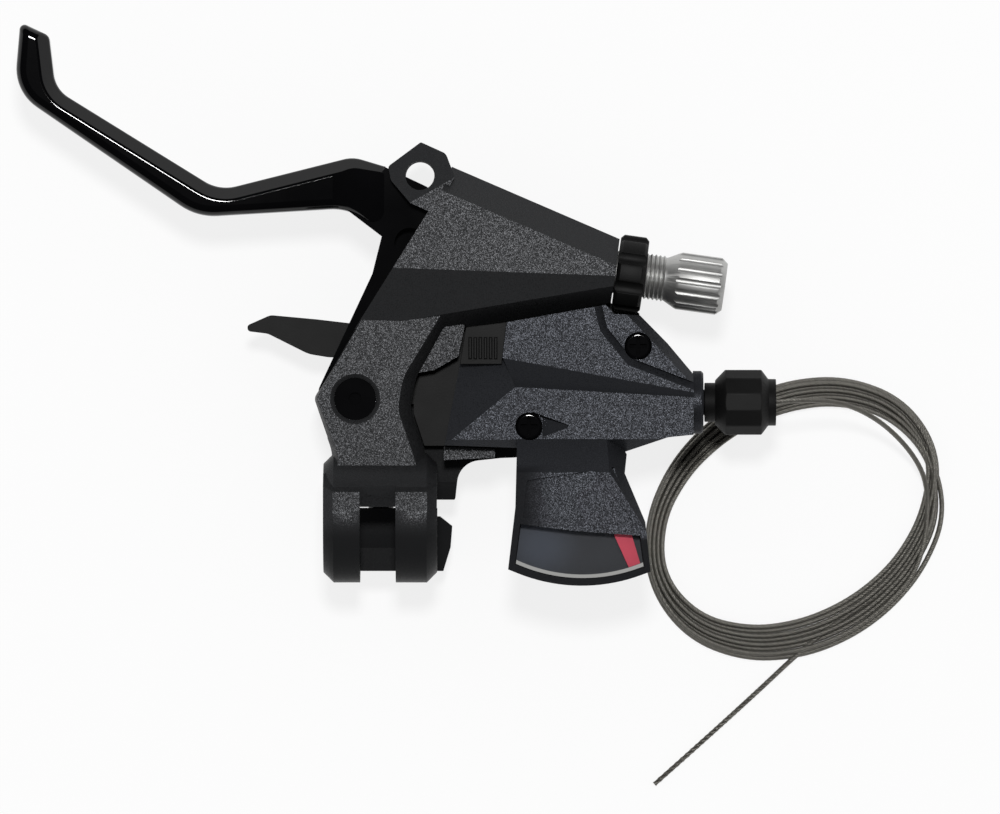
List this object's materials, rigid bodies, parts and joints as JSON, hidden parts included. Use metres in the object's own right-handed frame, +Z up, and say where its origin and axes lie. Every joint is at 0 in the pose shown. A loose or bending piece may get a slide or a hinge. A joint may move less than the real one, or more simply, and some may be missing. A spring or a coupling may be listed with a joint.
{
  "type": "road brake shift lever",
  "caption": "Left flat-bar brake lever with a bar clamp, joined to a trigger shift unit with a gear display, two barrel adjusters and a coiled bare inner cable.",
  "frame": {"origin": "centre of the bar clamp's bore", "axes": "+X along the bar toward the middle of the bicycle, +Y forward, +Z up"},
  "size_m": [0.2201, 0.1799, 0.0481],
  "materials": {
    "bracket_paint": "charcoal paint with metallic flecks on cast aluminium",
    "blade_black": "gloss black paint on cast aluminium",
    "dark_steel": "blackened steel",
    "white_nylon": "plain nylon",
    "zinc_steel": "zinc-plated steel",
    "silver_alloy": "turned and ribbed",
    "black_plastic": "satin black",
    "dial_face": "dark grey dial",
    "cover_paint": "charcoal paint with metallic flecks on plastic",
    "smoke_lens": "smoky clear plastic",
    "needle_red": "bright red",
    "drum_plastic": "dark acetal",
    "lever_steel": "black painted steel",
    "pad_rubber": "soft black pad",
    "spring_steel": "bright spring strip",
    "cable_steel": "twisted steel strands"
  },
  "bodies": {
    "bracket": {"lever_bracket": "bracket_paint", "pivot_pin": "dark_steel", "reach_screw": "dark_steel", "clamp_bolt": "dark_steel", "clamp_nut": "zinc_steel", "shift_top_cover": "cover_paint", "rib_block": "black_plastic", "cover_screws": "dark_steel", "display_window": "smoke_lens", "display_face": "dial_face", "needle_pin": "zinc_steel", "shift_base_cover": "black_plastic", "base_plate": "zinc_steel", "unit_bolts": "dark_steel", "main_axle": "zinc_steel", "axle_nut": "zinc_steel", "hold_pawl_pin": "zinc_steel", "adjuster_collar": "cover_paint", "drum_return_spring": "spring_steel", "thumb_return_spring": "spring_steel", "shift_cable_inner": "cable_steel", "shift_cable_lead": "cable_steel", "shift_cable_coil": "cable_steel", "shift_cable_tail": "cable_steel"},
    "brake_lever": {"brake_lever": "blade_black", "pivot_bushes": "white_nylon"},
    "barrel": {"brake_barrel_adjuster": "silver_alloy"},
    "lock_ring": {"adjuster_lock_ring": "black_plastic"},
    "drum": {"cable_drum": "drum_plastic", "cable_nipple": "zinc_steel", "ratchet_plate": "zinc_steel", "drive_ratchet": "zinc_steel"},
    "hold_pawl": {"hold_pawl": "zinc_steel"},
    "thumb_lever": {"thumb_lever": "lever_steel", "thumb_pad": "pad_rubber", "feed_pawl_pin": "zinc_steel"},
    "feed_pawl": {"feed_pawl": "zinc_steel"},
    "release_lever": {"release_lever": "black_plastic"},
    "needle": {"display_needle": "needle_red"},
    "knob": {"shift_cable_adjuster": "black_plastic"}
  },
  "joints": [
    {"name": "brake_pull", "type": "hinge", "parent": "bracket", "child": "brake_lever", "pos_m": [-0.0058, 0.028, 0], "axis": [0, 0, 1], "range_deg": [0, 30], "stiffness_Nm_per_rad": 0.15},
    {"name": "barrel_turn", "type": "hinge", "parent": "bracket", "child": "barrel", "pos_m": [0.0589, 0.0574, 0], "axis": [0.9903, -0.1392, 0], "continuous": true},
    {"name": "lock_ring_turn", "type": "hinge", "parent": "bracket", "child": "lock_ring", "pos_m": [0.0589, 0.0574, 0], "axis": [0.9903, -0.1392, 0], "continuous": true},
    {"name": "knob_turn", "type": "hinge", "parent": "bracket", "child": "knob", "pos_m": [0.08, 0.0272, 0], "axis": [1, 0, 0], "continuous": true},
    {"name": "drum_turn", "type": "hinge", "parent": "bracket", "child": "drum", "pos_m": [0.0468, 0.035, 0], "axis": [0, 0, 1], "range_deg": [-90, 0], "deforming": ["drum_return_spring"]},
    {"name": "needle_swing", "type": "hinge", "parent": "bracket", "child": "needle", "pos_m": [0.0468, 0.0235, 0], "axis": [0, 0, 1], "range_deg": [-41, 0]},
    {"name": "hold_pawl_rock", "type": "hinge", "parent": "bracket", "child": "hold_pawl", "pos_m": [0.03328, 0.03862, 0], "axis": [0, 0, 1], "range_deg": [-10, 0], "stiffness_Nm_per_rad": 0.01},
    {"name": "thumb_push", "type": "hinge", "parent": "bracket", "child": "thumb_lever", "pos_m": [0.0468, 0.035, 0], "axis": [0, 0, 1], "range_deg": [-25, 0], "stiffness_Nm_per_rad": 0.1, "deforming": ["thumb_return_spring"]},
    {"name": "feed_pawl_rock", "type": "hinge", "parent": "thumb_lever", "child": "feed_pawl", "pos_m": [0.04225, 0.0225, 0], "axis": [0, 0, 1], "range_deg": [-10, 0], "stiffness_Nm_per_rad": 0.01},
    {"name": "release_pull", "type": "hinge", "parent": "bracket", "child": "release_lever", "pos_m": [0.0468, 0.035, 0], "axis": [0, 0, 1], "range_deg": [0, 10], "stiffness_Nm_per_rad": 0.1}
  ],
  "couplings": [
    {"joint": "needle_swing", "follows": "drum_turn", "ratio": 0.45556}
  ]
}
